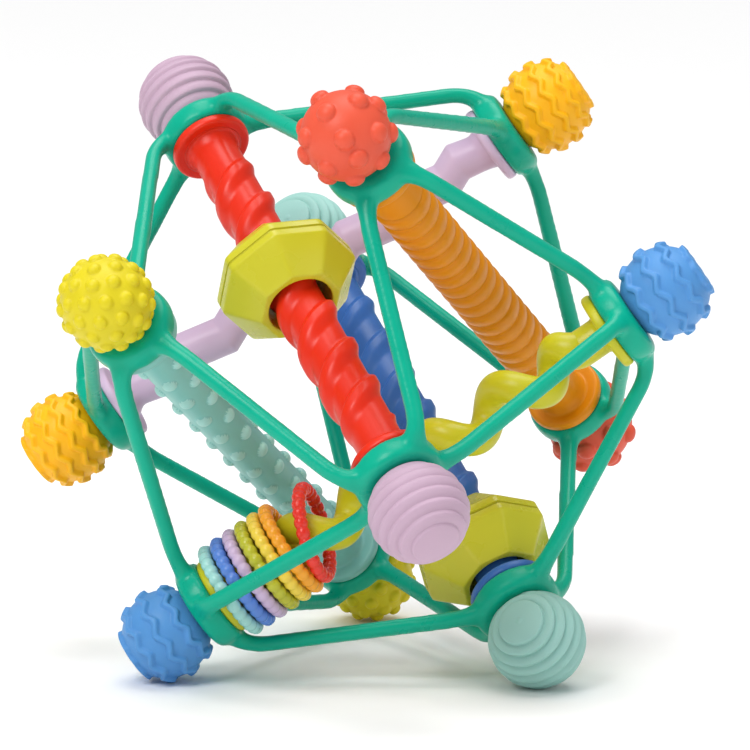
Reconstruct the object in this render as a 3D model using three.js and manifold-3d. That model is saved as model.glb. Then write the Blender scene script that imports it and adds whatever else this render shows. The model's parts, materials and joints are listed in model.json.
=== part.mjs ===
import * as THREE from 'three';
import { mergeVertices } from 'three/addons/utils/BufferGeometryUtils.js';
import Module from 'manifold-3d';

// A baby's activity ball. Six rigid struts, in three parallel pairs at right angles to each other, float
// in a soft net of twelve ring hubs and twenty-four bands. Every strut ends in two textured balls outside
// the net. Two struts carry a sliding eight-sided bead and one carries seven loose beaded rings.
// Millimetres, +Z up. The part stands on three of its balls, on a floor at z = 0.

const wasm = await Module();
wasm.setup();

// Layout
const strutSpan = 160; // between the centres of the two balls on one strut
const pairGap = 75; // between the axes of two parallel struts
const clearance = 0.3; // between pieces that seat on, pass through or lie against each other

// Strut ends, alike on all six struts
const pinDiameter = 9; // the pin that runs through the hub into the ball
const pinReach = 3; // how far the pin passes the ball's centre
const flangeDiameter = 21.5; // the disc that stops the hub
const flangeThickness = 2.8;
const flangeRim = 0.9; // rounding of the disc's edge
const neckFillet = 1.6; // between the disc and the neck

// Twisted struts, with two rounded ridges wound round them
const twistRootDiameter = 12.6;
const twistRidge = 1.35;
const twistLead = 28.7; // of each ridge
const twistStarts = 2;
const twistNeckLength = 8;
const twistFade = 6; // where the ridges run out at each end

// Ringed strut, with bands like stacked cups
const ringedDiameter = 15.6;
const ringedNeckDiameter = 12.4;
const ringedNeckLength = 13;
const ringedShoulder = 5;
const bandStep = 0.8;
const bandCount = 18;

// Bumped strut, with staggered rows of round bumps
const bumpedDiameter = 11.8;
const bumpedNeckLength = 8;
const strutBumpHeight = 1.2;
const strutBumpCount = 10; // bumps in one row along the strut
const strutBumpRows = 6;
const strutBumpTurn = THREE.MathUtils.degToRad(9.7); // of the first row round the strut

// Zigzag strut
const zigzagDiameter = 10.8;
const zigzagSwing = 1.5;
const zigzagNeckLength = 6;
const zigzagKinks = 13;

// Corkscrew strut
const corkscrewTube = 8.7;
const corkscrewRadius = 4.1; // from the strut's axis to the middle of the tube
const corkscrewLead = 22;
const corkscrewNeckDiameter = 11;
const corkscrewNeckLength = 7;
const corkscrewNeckBevel = 1.5;

// Balls
const ballDiameter = 26; // over ribs and bumps
const ribDepth = 0.9;
const ribCount = 7;
const ribCrest = 0.35; // where a rib stands highest, as a share of its width from the hub's side
const ribCap = 7; // radius of the smooth cap at a ribbed ball's pole
const ribCapRise = 0.8; // height of the shallow dome of the cap
const largeBumpHeight = 1.5;
const largeBumpDiameter = 6.2;
const smallBumpHeight = 1.3;
const smallBumpDiameter = 4.2;
const zigzagRibDepth = 1.2;
const zigzagRibCount = 4;
const zigzagRibSwing = 1.3; // half the height of one zigzag
const zigzagRibTurns = 8; // zigzags round the ball
const zigzagEnd = 10; // from a zigzag ball's centre to its flat outer end

// Soft net
const hubSetback = 10.3; // from a ball's centre to the outer face of its hub
const hubDiameter = 23.5;
const hubThickness = 6.4;
const hubRim = 1.6; // bevel of the hub's outer edge
const bandDiameter = 4.6;
const bandRootDiameter = 5.6; // where a band runs into a hub
const bandRootLength = 12;
const bandStub = 2.5; // from the hub's rim to the corner where the band bends
const bandBend = 7; // from that corner to the straight part of the band

// Sliding beads
const beadDiameter = 38.2; // across the corners
const beadLength = 22.6;
const beadSides = 8;
const beadBelt = 5; // width of the upright faces
const beadGroove = 0.7; // depth of the seam round the belt
const beadBore = 17.6;
const beadLip = 2.2; // wall at the mouth of the bore
const redBeadPlace = 8; // above the middle of its strut
const redBeadLean = THREE.MathUtils.degToRad(-5);
const redBeadTurn = THREE.MathUtils.degToRad(17);
const blueBeadTurn = THREE.MathUtils.degToRad(-6);
const blueBeadLift = 2.8; // above the flange, where the bands stop the bead

// Loose rings
const ringDiameter = 27.2;
const ringSection = 3.6;
const ringBeads = 13;
const ringWaist = 0.74; // thickness between two beads, as a share of the bead
const loneRingLean = THREE.MathUtils.degToRad(20); // of the last ring, which leans on the stack

// Facets of the round forms
const strutFacets = 10;
const ballFacets = 12;
const boreFacets = 10;
const hubFacets = 10;
const bandFacets = 6;
const tubeFacets = 6;
const twistFacets = 12;
const twistSteps = 4; // rows from one ridge to the next
const bandRootSteps = 4; // rows along a band's bend
const corkscrewSteps = 8; // steps in one turn of the tube
const ringFacets = 4;
const largeBumpGrid = 5; // cuts along each edge of the icosahedron under a ball with bumps
const smallBumpGrid = 3;

// Derived sizes
const halfSpan = strutSpan / 2;
const halfGap = pairGap / 2;
const ballRadius = ballDiameter / 2;
const pinRadius = pinDiameter / 2;
const boreRadius = pinRadius + clearance;
const hubPlace = halfSpan - hubSetback - hubThickness / 2; // from a strut's middle to the middle of its hub
const flangeOuter = hubPlace - hubThickness / 2 - clearance;
const flangeInner = flangeOuter - flangeThickness;
const flangeRadius = flangeDiameter / 2;
const ballFlat = hubSetback - clearance; // from a ball's centre to the flat that faces the hub
const hubRadius = hubDiameter / 2;
const ringMiddleRadius = (ringDiameter - ringSection) / 2;
const ringOverhang = ringMiddleRadius - (flangeRadius - flangeRim); // past the flange's flat face
const ringSeat = Math.SQRT2 * (ringSection / 2 + clearance) - ringOverhang; // from that face to the first ring
const fullTurn = 2 * Math.PI;

function plastic(colour, roughness) {
  return new THREE.MeshStandardMaterial({ color: colour, roughness, metalness: 0 });
}

const materials = {
  teal: plastic(0x04a384, 0.5),
  red: plastic(0xe8402c, 0.42),
  blue: plastic(0x4a6fb5, 0.42),
  orange: plastic(0xd68a2a, 0.42),
  aqua: plastic(0x8cc4bd, 0.45),
  lavender: plastic(0xcdb6d2, 0.42),
  lime: plastic(0xc4c02e, 0.42),
  olive: plastic(0xa5a32c, 0.3),
  paleAqua: plastic(0xa5d8d2, 0.45),
  coral: plastic(0xe8604f, 0.45),
  yellow: plastic(0xe6d42f, 0.45),
  amber: plastic(0xf0ac24, 0.45),
  skyBlue: plastic(0x5b8fd8, 0.45),
};

// A closed geometry as a solid that can be joined and cut. Triangles that shrink to a line at a pole go.
function solid(geometry) {
  const bare = geometry.clone();
  bare.deleteAttribute('normal');
  bare.deleteAttribute('uv');
  const merged = mergeVertices(bare, 1e-4);
  const corners = merged.index.array;
  const triangles = [];
  for (let i = 0; i < corners.length; i += 3) {
    const [a, b, c] = [corners[i], corners[i + 1], corners[i + 2]];
    if (a !== b && b !== c && c !== a) {
      triangles.push(a, b, c);
    }
  }
  return new wasm.Manifold(new wasm.Mesh({
    numProp: 3,
    vertProperties: new Float32Array(merged.getAttribute('position').array),
    triVerts: new Uint32Array(triangles),
  }));
}

function piece(name, shape, material) {
  const { vertProperties, triVerts } = shape.getMesh();
  const geometry = new THREE.BufferGeometry();
  geometry.setAttribute('position', new THREE.BufferAttribute(vertProperties, 3));
  geometry.setIndex(new THREE.BufferAttribute(triVerts, 1));
  const mesh = new THREE.Mesh(geometry, material);
  mesh.name = name;
  return mesh;
}

// Moves every vertex of a geometry by a function of its place.
function reshape(geometry, move) {
  const position = geometry.getAttribute('position');
  const vertex = new THREE.Vector3();
  for (let i = 0; i < position.count; i += 1) {
    vertex.fromBufferAttribute(position, i);
    move(vertex, i);
    position.setXYZ(i, vertex.x, vertex.y, vertex.z);
  }
  return geometry;
}

// An outline of [radius, height] pairs turned about Z. It runs upwards on the outside. The move function,
// if there is one, also gets the angle of each vertex round the axis.
function revolve(outline, facets, move) {
  const points = outline.map(([radius, height]) => new THREE.Vector2(radius, height));
  const geometry = new THREE.LatheGeometry(points, facets, Math.PI / 2);
  geometry.rotateX(Math.PI / 2);
  if (move) {
    reshape(geometry, (vertex, i) => {
      const column = Math.floor(i / outline.length) % facets;
      move(vertex, (column / facets) * fullTurn);
    });
  }
  return geometry;
}

// Radius to the corners of a faceted bore whose flats lie at the given radius.
function cornerRadius(radius, facets) {
  return radius / Math.cos(Math.PI / facets);
}

// A plain cutter about Z between two heights, with its flats at the given radius.
function cutter(radius, low, high, facets) {
  const corner = cornerRadius(radius, facets);
  const geometry = new THREE.CylinderGeometry(corner, corner, high - low, facets, 1, false, Math.PI / 2);
  geometry.rotateX(Math.PI / 2);
  geometry.translate(0, 0, (low + high) / 2);
  return geometry;
}

// Outline of a strut's lower end, from the tip of the pin to the neck.
function lowerEnd(neckRadius) {
  return [
    [0, -halfSpan - pinReach],
    [pinRadius, -halfSpan - pinReach],
    [pinRadius, -flangeOuter],
    [flangeRadius, -flangeOuter],
    [flangeRadius, -flangeInner - flangeRim],
    [flangeRadius - flangeRim, -flangeInner],
    [neckRadius + neckFillet, -flangeInner],
    [neckRadius, -flangeInner + neckFillet],
  ];
}

function mirrored(outline) {
  return outline.map(([radius, height]) => [radius, -height]).reverse();
}

function strutOutline(neckRadius, body) {
  const end = lowerEnd(neckRadius);
  return [...end, ...body, ...mirrored(end)];
}

// Twisted strut: the ridges are wound right-handed and one passes the given angle at the strut's middle.
function twistedStrut(ridgeAngle) {
  const rootRadius = twistRootDiameter / 2;
  const half = flangeInner - twistNeckLength;
  const rows = Math.round((2 * half * twistSteps * twistStarts) / twistLead);
  const body = [];
  for (let row = 0; row <= rows; row += 1) {
    body.push([rootRadius, -half + (2 * half * row) / rows]);
  }
  return solid(revolve(strutOutline(rootRadius, body), twistFacets, (vertex, angle) => {
    const room = half - Math.abs(vertex.z);
    const fade = THREE.MathUtils.smoothstep(room, 0, twistFade);
    const phase = twistStarts * (angle - ridgeAngle - (vertex.z / twistLead) * fullTurn);
    const lift = twistRidge * fade * ((1 + Math.cos(phase)) / 2) ** 1.4;
    const stretch = (rootRadius + lift) / rootRadius;
    vertex.x *= stretch;
    vertex.y *= stretch;
  }));
}

function ringedStrut() {
  const radius = ringedDiameter / 2;
  const half = flangeInner - ringedNeckLength;
  const pitch = (2 * half) / bandCount;
  const neckRadius = ringedNeckDiameter / 2;
  const body = [[neckRadius, -half - ringedShoulder]];
  for (let band = 0; band < bandCount; band += 1) {
    const low = -half + band * pitch;
    body.push([radius - bandStep, low]);
    body.push([radius, low + pitch * 0.7]);
  }
  body.push([radius - bandStep, half]);
  body.push([neckRadius, half + ringedShoulder]);
  return solid(revolve(strutOutline(neckRadius, body), strutFacets));
}

// Bumped strut: each bump is one corner of the surface, raised between four rows and columns that stay.
function bumpedStrut() {
  const radius = bumpedDiameter / 2;
  const facets = strutBumpRows * 2;
  const half = flangeInner - bumpedNeckLength;
  const rowStep = half / (2 * strutBumpCount);
  const body = [];
  for (let row = 0; row <= 4 * strutBumpCount; row += 1) {
    body.push([radius, -half + row * rowStep]);
  }
  const strut = revolve(strutOutline(radius, body), facets, (vertex, angle) => {
    const row = Math.round((vertex.z + half) / rowStep);
    const column = Math.round((angle / fullTurn) * facets);
    const inside = Math.abs(vertex.z) < half - rowStep / 2;
    const onBump = column % 2 === 0 && (row + column) % 4 === 3;
    if (inside && onBump) {
      const stretch = (radius + strutBumpHeight) / radius;
      vertex.x *= stretch;
      vertex.y *= stretch;
    }
  });
  return solid(strut.rotateZ(strutBumpTurn));
}

// Zigzag strut: mitred kinks swing to either side in the plane at the given angle.
function zigzagStrut(planeAngle) {
  const radius = zigzagDiameter / 2;
  const half = flangeInner - zigzagNeckLength;
  const kinkStep = (2 * half) / (zigzagKinks - 1);
  const body = [];
  for (let kink = 0; kink < zigzagKinks; kink += 1) {
    body.push([radius, -half + kink * kinkStep]);
  }
  return solid(revolve(strutOutline(radius, body), strutFacets, (vertex) => {
    if (Math.abs(vertex.z) < half + kinkStep / 4) {
      const kink = Math.round((vertex.z + half) / kinkStep);
      const swing = kink % 2 === 0 ? zigzagSwing : -zigzagSwing;
      vertex.x += swing * Math.cos(planeAngle);
      vertex.y += swing * Math.sin(planeAngle);
    }
  }));
}

// Middle line of the corkscrew: a right-handed helix that draws in to the axis at both ends.
class CorkscrewLine extends THREE.Curve {
  constructor(half, startAngle) {
    super();
    this.half = half;
    this.startAngle = startAngle;
  }

  getPoint(t, target = new THREE.Vector3()) {
    const height = (2 * t - 1) * this.half;
    const room = this.half - Math.abs(height);
    const radius = corkscrewRadius * THREE.MathUtils.smoothstep(room, 0, corkscrewLead / 3);
    const angle = this.startAngle + (height / corkscrewLead) * fullTurn;
    return target.set(radius * Math.cos(angle), radius * Math.sin(angle), height);
  }
}

function corkscrewStrut(startAngle) {
  const neckRadius = corkscrewNeckDiameter / 2;
  const tubeRadius = corkscrewTube / 2;
  const half = flangeInner - neckFillet;
  const section = new THREE.Shape();
  section.absarc(0, 0, tubeRadius, 0, fullTurn);
  const tube = new THREE.ExtrudeGeometry(section, {
    extrudePath: new CorkscrewLine(half, startAngle),
    steps: Math.round((2 * half * corkscrewSteps) / corkscrewLead),
    curveSegments: tubeFacets / 2,
    bevelEnabled: false,
  });
  const neckEnd = flangeInner - corkscrewNeckLength;
  const neck = [
    ...lowerEnd(neckRadius),
    [neckRadius, -neckEnd - corkscrewNeckBevel],
    [tubeRadius - clearance, -neckEnd],
    [0, -neckEnd],
  ];
  return solid(tube)
    .add(solid(revolve(neck, strutFacets)))
    .add(solid(revolve(mirrored(neck), strutFacets)));
}

// The balls are modelled with their centre at the origin and their hub below them.

// Outline of the blind socket for the pin and of the flat round its mouth.
function socketOutline(flatRadius, facets) {
  const corner = cornerRadius(boreRadius, facets);
  return [
    [0, pinReach + clearance],
    [corner, pinReach + clearance],
    [corner, -ballFlat],
    [flatRadius, -ballFlat],
  ];
}

// Cuts the same socket and flat into a whole ball.
function withSocket(ball) {
  const socket = cutter(boreRadius, -ballDiameter, pinReach + clearance, boreFacets);
  const below = cutter(ballDiameter, -ballDiameter, -ballFlat, boreFacets);
  return ball.subtract(solid(socket)).subtract(solid(below));
}

// Stepped ribs up a ball from one height to another, as [radius, height] pairs.
function ribOutline(low, high, ribs) {
  const lowAngle = Math.asin(low / ballRadius);
  const highAngle = Math.asin(high / ballRadius);
  const outline = [];
  for (let rib = 0; rib < ribs; rib += 1) {
    const angle = lowAngle + ((highAngle - lowAngle) * rib) / ribs;
    const crest = lowAngle + ((highAngle - lowAngle) * (rib + ribCrest)) / ribs;
    const root = ballRadius - ribDepth;
    outline.push([root * Math.cos(angle), root * Math.sin(angle)]);
    outline.push([ballRadius * Math.cos(crest), ballRadius * Math.sin(crest)]);
  }
  return outline;
}

// Ribs round the strut's axis.
function ribbedBall() {
  const capHeight = Math.sqrt(ballRadius ** 2 - ribCap ** 2);
  const flatRadius = Math.sqrt((ballRadius - ribDepth) ** 2 - ballFlat ** 2);
  const start = -ballFlat * (ballRadius / (ballRadius - ribDepth)) + ribDepth;
  return solid(revolve([
    ...socketOutline(flatRadius, ballFacets),
    ...ribOutline(start, capHeight, ribCount),
    [ribCap, capHeight],
    [0, capHeight + ribCapRise],
  ], ballFacets));
}

// Ribs round an axis across the strut, with a smooth cap at both poles.
function crossRibbedBall() {
  const capHeight = Math.sqrt(ballRadius ** 2 - ribCap ** 2);
  const ball = revolve([
    [0, -capHeight - ribCapRise],
    [ribCap, -capHeight],
    ...ribOutline(-capHeight, capHeight, ribCount).slice(1),
    [ribCap, capHeight],
    [0, capHeight + ribCapRise],
  ], ballFacets);
  ball.rotateY(Math.PI / 2);
  return withSocket(solid(ball));
}

// Directions in which a ball's bumps stand: the corners of an icosahedron with the middles of its faces,
// thirty-two in all, or with the middles of its edges, forty-two in all.
function bumpDirections(onFaces) {
  const corners = new THREE.IcosahedronGeometry(1, 0).getAttribute('position');
  const directions = [];
  const addOnce = (direction) => {
    const unit = direction.normalize();
    if (!directions.some((other) => other.distanceTo(unit) < 0.01)) {
      directions.push(unit);
    }
  };
  for (let face = 0; face < corners.count; face += 3) {
    const [a, b, c] = [0, 1, 2].map((i) => new THREE.Vector3().fromBufferAttribute(corners, face + i));
    if (onFaces) {
      addOnce(a.clone().add(b).add(c));
    } else {
      addOnce(a.clone().add(b));
      addOnce(b.clone().add(c));
      addOnce(c.clone().add(a));
    }
    addOnce(a);
    addOnce(b);
    addOnce(c);
  }
  return directions;
}

function bumpedBall(onFaces, bumpDiameter, bumpHeight, grid) {
  const baseRadius = ballRadius - bumpHeight;
  const bumpAngle = bumpDiameter / 2 / baseRadius;
  const directions = bumpDirections(onFaces);
  const ball = reshape(new THREE.IcosahedronGeometry(baseRadius, grid), (vertex) => {
    const unit = vertex.clone().normalize();
    const nearest = Math.min(...directions.map((direction) => direction.angleTo(unit)));
    const share = Math.max(0, 1 - (nearest / bumpAngle) ** 2);
    vertex.setLength(baseRadius + bumpHeight * Math.sqrt(share));
  });
  return withSocket(solid(ball));
}

// Zigzag ribs round the strut's axis, below a flat outer end.
function zigzagBall() {
  const rootRadius = ballRadius - zigzagRibDepth;
  const endRadius = Math.sqrt(rootRadius ** 2 - zigzagEnd ** 2);
  const swingAngle = zigzagRibSwing / ballRadius;
  const lowAngle = -Math.asin(ballFlat / rootRadius) + 1.5 * swingAngle;
  const highAngle = Math.asin(zigzagEnd / rootRadius) - 1.5 * swingAngle;
  const facets = 2 * zigzagRibTurns;
  const outline = [...socketOutline(Math.sqrt(rootRadius ** 2 - ballFlat ** 2), facets)];
  const firstRow = outline.length;
  const rows = 2 * zigzagRibCount;
  for (let row = 0; row <= rows; row += 1) {
    const angle = lowAngle + ((highAngle - lowAngle) * row) / rows;
    const radius = row % 2 === 1 ? ballRadius : rootRadius;
    outline.push([radius * Math.cos(angle), radius * Math.sin(angle)]);
  }
  outline.push([endRadius, zigzagEnd]);
  outline.push([0, zigzagEnd]);
  const ball = revolve(outline, facets);
  return solid(reshape(ball, (vertex, i) => {
    const row = i % outline.length;
    const column = Math.floor(i / outline.length) % facets;
    if (row < firstRow || row > firstRow + rows) {
      return;
    }
    const around = Math.atan2(vertex.y, vertex.x);
    const reach = vertex.length();
    const rise = Math.asin(vertex.z / reach) + (column % 2 === 0 ? swingAngle : -swingAngle);
    const flat = reach * Math.cos(rise);
    vertex.set(flat * Math.cos(around), flat * Math.sin(around), reach * Math.sin(rise));
  }));
}

// One half of an eight-sided bead, above the seam. The two halves meet in a groove round the belt.
function beadHalf() {
  const corner = beadDiameter / 2;
  const seam = clearance / 2;
  const mouth = beadBore / 2;
  const body = revolve([
    [0, seam],
    [corner - beadGroove, seam],
    [corner, seam + beadGroove],
    [corner, beadBelt / 2],
    [mouth + beadLip, beadLength / 2],
    [0, beadLength / 2],
  ], beadSides);
  return solid(body).subtract(solid(cutter(mouth, -beadLength, beadLength, boreFacets)));
}

// A ring of beads fused in a row, lying in the XY plane.
function beadedRing() {
  const steps = 2 * ringBeads;
  const torus = new THREE.TorusGeometry(ringMiddleRadius, ringSection / 2, ringFacets, steps);
  return solid(reshape(torus, (vertex, i) => {
    const step = i % (steps + 1);
    const angle = (step / steps) * fullTurn;
    const middle = new THREE.Vector3(Math.cos(angle), Math.sin(angle), 0).multiplyScalar(ringMiddleRadius);
    const thickness = step % 2 === 0 ? 1 : ringWaist;
    vertex.sub(middle).multiplyScalar(thickness).add(middle);
  }));
}

// The three strut directions. They stand at right angles to each other and all rise by the same slope.
const slope = Math.asin(1 / Math.sqrt(3));
const directions = [0, 1, 2].map((third) => {
  const azimuth = (third / 3) * fullTurn;
  const flat = Math.cos(slope);
  return new THREE.Vector3(flat * Math.cos(azimuth), flat * Math.sin(azimuth), Math.sin(slope));
});

// The frame of one strut: its axis is Z, and X points to the pair's other side.
function strutFrame(direction, side) {
  const along = directions[direction];
  const across = directions[(direction + 1) % 3];
  const third = directions[(direction + 2) % 3];
  const frame = new THREE.Group();
  frame.quaternion.setFromRotationMatrix(new THREE.Matrix4().makeBasis(across, third, along));
  frame.position.copy(across).multiplyScalar(side * halfGap);
  return frame;
}

const degrees = THREE.MathUtils.degToRad;
const struts = [
  {
    name: 'lavender',
    direction: 0,
    side: 1,
    body: piece('strut_lavender_zigzag', zigzagStrut(degrees(39)), materials.lavender),
    ball: { name: 'amber', shape: zigzagBall(), material: materials.amber },
  },
  {
    name: 'lime',
    direction: 0,
    side: -1,
    body: piece('strut_lime_corkscrew', corkscrewStrut(degrees(-110)), materials.lime),
    ball: { name: 'blue', shape: zigzagBall(), material: materials.skyBlue },
  },
  {
    name: 'red',
    direction: 1,
    side: 1,
    body: piece('strut_red_twisted', twistedStrut(degrees(128)), materials.red),
    ball: { name: 'lavender', shape: ribbedBall(), material: materials.lavender },
  },
  {
    name: 'blue',
    direction: 1,
    side: -1,
    body: piece('strut_blue_twisted', twistedStrut(degrees(154)), materials.blue),
    ball: { name: 'aqua', shape: crossRibbedBall(), material: materials.paleAqua },
  },
  {
    name: 'orange',
    direction: 2,
    side: 1,
    body: piece('strut_orange_ringed', ringedStrut(), materials.orange),
    ball: {
      name: 'coral',
      shape: bumpedBall(true, largeBumpDiameter, largeBumpHeight, largeBumpGrid),
      material: materials.coral,
    },
  },
  {
    name: 'aqua',
    direction: 2,
    side: -1,
    body: piece('strut_aqua_bumped', bumpedStrut(), materials.aqua),
    ball: {
      name: 'yellow',
      shape: bumpedBall(false, smallBumpDiameter, smallBumpHeight, smallBumpGrid),
      material: materials.yellow,
    },
  },
];

const activityBall = new THREE.Group();
const frames = {};
for (const strut of struts) {
  const frame = strutFrame(strut.direction, strut.side);
  frames[strut.name] = frame;
  frame.add(strut.body);
  const upper = piece(`ball_${strut.ball.name}_upper`, strut.ball.shape, strut.ball.material);
  upper.position.z = halfSpan;
  const lower = piece(`ball_${strut.ball.name}_lower`, strut.ball.shape, strut.ball.material);
  lower.position.z = -halfSpan;
  lower.rotation.x = Math.PI;
  frame.add(upper, lower);
  activityBall.add(frame);
}

// Soft net. A hub sits behind each ball. Two of its bands are its own and two come from other hubs.
function hubOf(direction, side, end) {
  const strut = struts.find((one) => one.direction === direction && one.side === side);
  const frame = frames[strut.name];
  frame.updateMatrixWorld();
  const outward = directions[direction].clone().multiplyScalar(end);
  const middle = outward.clone().multiplyScalar(hubPlace).add(frame.position);
  return { strut, outward, middle, level: end > 0 ? 'upper' : 'lower' };
}

// The way a band leaves a hub: straight out of its rim, on the side that the band goes to.
function rimDirection(hub, target) {
  const reach = target.middle.clone().sub(hub.middle);
  return reach.addScaledVector(hub.outward, -reach.dot(hub.outward)).normalize();
}

// Places a solid that was made about Z at a point, with its Z along a direction.
function place(geometry, point, direction) {
  const up = new THREE.Vector3(0, 0, 1);
  geometry.applyQuaternion(new THREE.Quaternion().setFromUnitVectors(up, direction));
  geometry.translate(point.x, point.y, point.z);
  return solid(geometry);
}

function hubRing(hub) {
  const half = hubThickness / 2;
  const bore = cornerRadius(boreRadius, hubFacets);
  return place(revolve([
    [bore, -half],
    [hubRadius, -half],
    [hubRadius, half - hubRim],
    [hubRadius - hubRim, half],
    [bore, half],
    [bore, -half],
  ], hubFacets), hub.middle, hub.outward);
}

// Room for a hub and for the flange that it sits on.
function hubRoom(hub) {
  const half = hubThickness / 2 + clearance;
  return place(cutter(hubRadius + clearance, -half, half, hubFacets), hub.middle, hub.outward);
}

function flangeRoom(hub) {
  const half = hubThickness / 2;
  const room = cutter(flangeRadius + clearance, -half - 2 * flangeThickness, -half, hubFacets);
  return place(room, hub.middle, hub.outward);
}

// Middle line of a band: out of one hub, round a bend, straight across, and the same at the other hub.
function bandLine(start, end) {
  const leave = rimDirection(start, end);
  const arrive = rimDirection(end, start);
  const inHub = hubRadius - bandRootDiameter / 2;
  const corner = start.middle.clone().addScaledVector(leave, hubRadius + bandStub);
  const farCorner = end.middle.clone().addScaledVector(arrive, hubRadius + bandStub);
  const across = farCorner.clone().sub(corner).normalize();
  const first = start.middle.clone().addScaledVector(leave, inHub);
  const last = end.middle.clone().addScaledVector(arrive, inHub);
  const bendEnd = corner.clone().addScaledVector(across, bandBend);
  const farBendEnd = farCorner.clone().addScaledVector(across, -bandBend);
  const line = new THREE.CurvePath();
  line.add(new THREE.QuadraticBezierCurve3(first, corner, bendEnd));
  line.add(new THREE.LineCurve3(bendEnd, farBendEnd));
  line.add(new THREE.QuadraticBezierCurve3(farBendEnd, farCorner, last));
  return line;
}

// A round band that thickens into the hubs at its two ends.
function netBand(start, end) {
  const line = bandLine(start, end);
  const length = line.getLength();
  const root = [];
  for (let step = 0; step <= bandRootSteps; step += 1) {
    const share = step / bandRootSteps;
    const diameter = THREE.MathUtils.lerp(bandRootDiameter, bandDiameter, share);
    root.push([diameter / 2, share * bandRootLength]);
  }
  const farRoot = root.map(([radius, height]) => [radius, length - height]).reverse();
  const outline = [[0, 0], ...root, ...farRoot, [0, length]];
  const side = rimDirection(start, end).cross(line.getTangent(0.5)).normalize();
  return solid(reshape(revolve(outline, bandFacets), (vertex) => {
    const share = THREE.MathUtils.clamp(vertex.z / length, 0, 1);
    const along = line.getTangent(share);
    const width = side.clone().addScaledVector(along, -side.dot(along)).normalize();
    const depth = along.clone().cross(width);
    const middle = line.getPoint(share);
    vertex.copy(middle.addScaledVector(width, vertex.x).addScaledVector(depth, vertex.y));
  }));
}

for (const direction of [0, 1, 2]) {
  for (const side of [1, -1]) {
    for (const end of [1, -1]) {
      const hub = hubOf(direction, side, end);
      let shape = hubRing(hub);
      for (const nextSide of [1, -1]) {
        const next = hubOf((direction + 1) % 3, nextSide, side);
        const band = netBand(hub, next).subtract(hubRoom(next)).subtract(flangeRoom(next));
        shape = shape.add(band);
      }
      shape = shape.subtract(flangeRoom(hub));
      activityBall.add(piece(`net_${hub.strut.name}_${hub.level}`, shape, materials.teal));
    }
  }
}

// Sliding beads: one part of the way up the red strut, leaning, and one down at the lower end of the blue
// strut, where its bore hangs on the ridges.
const beadShape = beadHalf();
function addBead(strutName, placeUp, sag, lean, turn) {
  const bead = new THREE.Group();
  bead.position.set(-sag * Math.SQRT1_2, -sag * Math.SQRT1_2, placeUp);
  bead.rotation.set(0, lean, turn);
  const upper = piece(`bead_${strutName}_upper_half`, beadShape, materials.olive);
  const lower = piece(`bead_${strutName}_lower_half`, beadShape, materials.olive);
  lower.rotation.x = Math.PI;
  bead.add(upper, lower);
  frames[strutName].add(bead);
}
addBead('red', redBeadPlace, 0, redBeadLean, redBeadTurn);
const blueBeadPlace = -flangeInner + clearance + blueBeadLift + beadLength / 2;
const beadSag = beadBore / 2 - twistRootDiameter / 2 - twistRidge - clearance;
addBead('blue', blueBeadPlace, beadSag, 0, blueBeadTurn);

// Loose rings on the corkscrew: six stacked on the rim of the lower flange, and one that leans on the stack.
const ringShape = beadedRing();
const ringColours = {
  aqua: materials.paleAqua,
  blue: materials.skyBlue,
  lavender: materials.lavender,
  olive: materials.lime,
  yellow: materials.yellow,
  orange: materials.amber,
  red: materials.red,
};
let ringPlace = -flangeInner + ringSeat;
for (const [name, material] of Object.entries(ringColours)) {
  const ring = piece(`ring_${name}`, ringShape, material);
  ring.position.z = ringPlace;
  if (name === 'red') {
    const level = new THREE.Vector3(1, -1, 0).normalize();
    ring.quaternion.setFromAxisAngle(level, loneRingLean);
    ring.position.z += ringMiddleRadius * Math.sin(loneRingLean);
  }
  frames.lime.add(ring);
  ringPlace += ringSection + clearance;
}

// Stands the part on the floor, in the middle of its own plan.
const bounds = new THREE.Box3().setFromObject(activityBall, true);
const middle = bounds.getCenter(new THREE.Vector3());
activityBall.position.set(-middle.x, -middle.y, -bounds.min.z);

export default activityBall;
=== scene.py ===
import json
import math

import bmesh
import bpy
import numpy as np
from mathutils import Matrix, Vector


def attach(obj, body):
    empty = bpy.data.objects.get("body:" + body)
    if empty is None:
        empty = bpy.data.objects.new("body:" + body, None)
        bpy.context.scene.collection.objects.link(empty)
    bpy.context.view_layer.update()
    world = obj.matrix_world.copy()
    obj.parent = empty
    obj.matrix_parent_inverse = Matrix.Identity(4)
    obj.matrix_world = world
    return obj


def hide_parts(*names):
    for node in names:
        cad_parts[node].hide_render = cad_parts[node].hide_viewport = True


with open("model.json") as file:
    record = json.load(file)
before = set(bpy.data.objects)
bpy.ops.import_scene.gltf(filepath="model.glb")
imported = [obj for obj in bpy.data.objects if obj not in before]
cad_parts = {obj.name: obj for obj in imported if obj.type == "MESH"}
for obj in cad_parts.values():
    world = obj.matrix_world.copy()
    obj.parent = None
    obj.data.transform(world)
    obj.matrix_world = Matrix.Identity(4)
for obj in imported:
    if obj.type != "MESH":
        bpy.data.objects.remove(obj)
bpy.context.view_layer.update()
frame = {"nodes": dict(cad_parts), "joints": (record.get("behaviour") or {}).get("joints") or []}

# A baby's activity ball: six textured struts floating in a soft teal net, with textured balls on their ends,
# two eight-sided beads that slide and seven loose beaded rings. Sizes are in millimetres where nothing else
# is said.


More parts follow.
